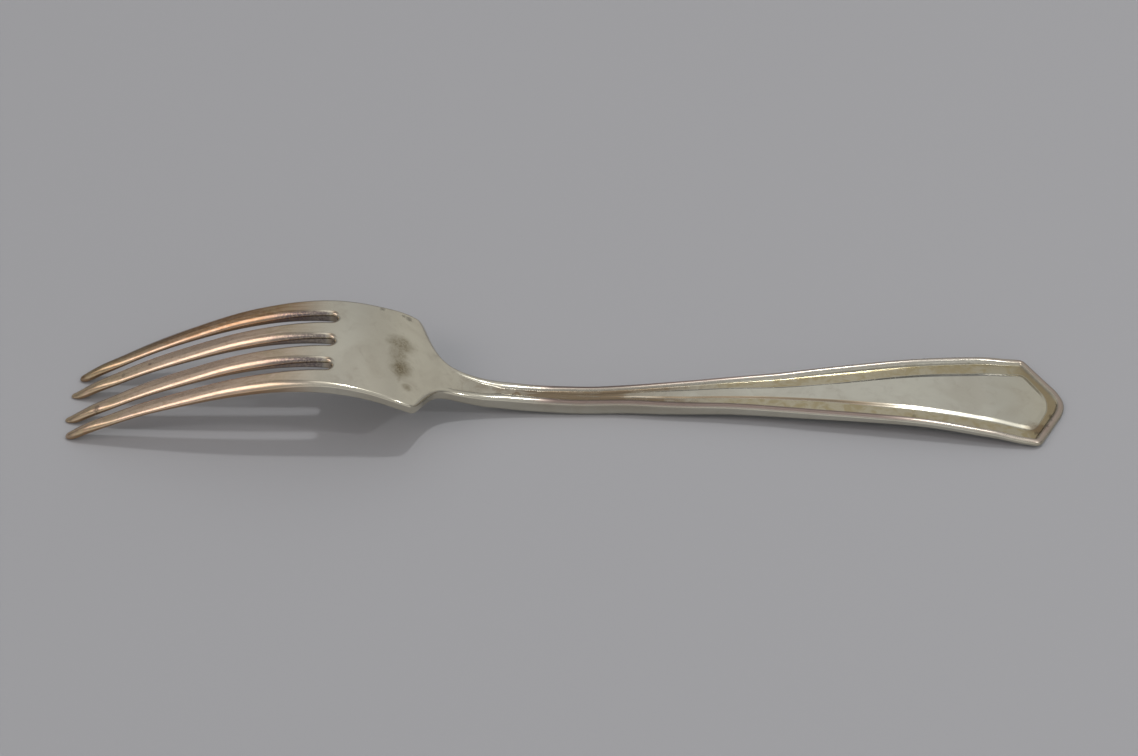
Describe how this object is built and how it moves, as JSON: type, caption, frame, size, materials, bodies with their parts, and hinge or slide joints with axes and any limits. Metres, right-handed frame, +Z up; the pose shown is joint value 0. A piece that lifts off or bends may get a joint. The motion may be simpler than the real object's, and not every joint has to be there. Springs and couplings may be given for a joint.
{
  "type": "dinner fork",
  "caption": "Four-tined metal dinner fork lying face down, with angular shoulders, a beaded stem and a five-sided handle with a raised panel.",
  "frame": {"origin": "middle of the fork's bounding box in plan, at the height of the table it lies on", "axes": "+X along the fork from the tines to the end of the handle, +Y across it, +Z up with the back of the fork up"},
  "size_m": [0.19, 0.0254, 0.0176],
  "materials": {
    "blade_metal": "tarnished silver plate, rose brown along the tines",
    "shank_metal": "tarnished silver plate, dark in the groove",
    "handle_metal": "worn silver plate, yellow grey"
  },
  "bodies": {
    "root": {"tine_outer_left": "blade_metal", "tine_inner_left": "blade_metal", "tine_inner_right": "blade_metal", "tine_outer_right": "blade_metal", "palm": "blade_metal", "neck": "shank_metal", "stem": "shank_metal", "handle": "handle_metal", "handle_end": "handle_metal"}
  },
  "joints": []
}
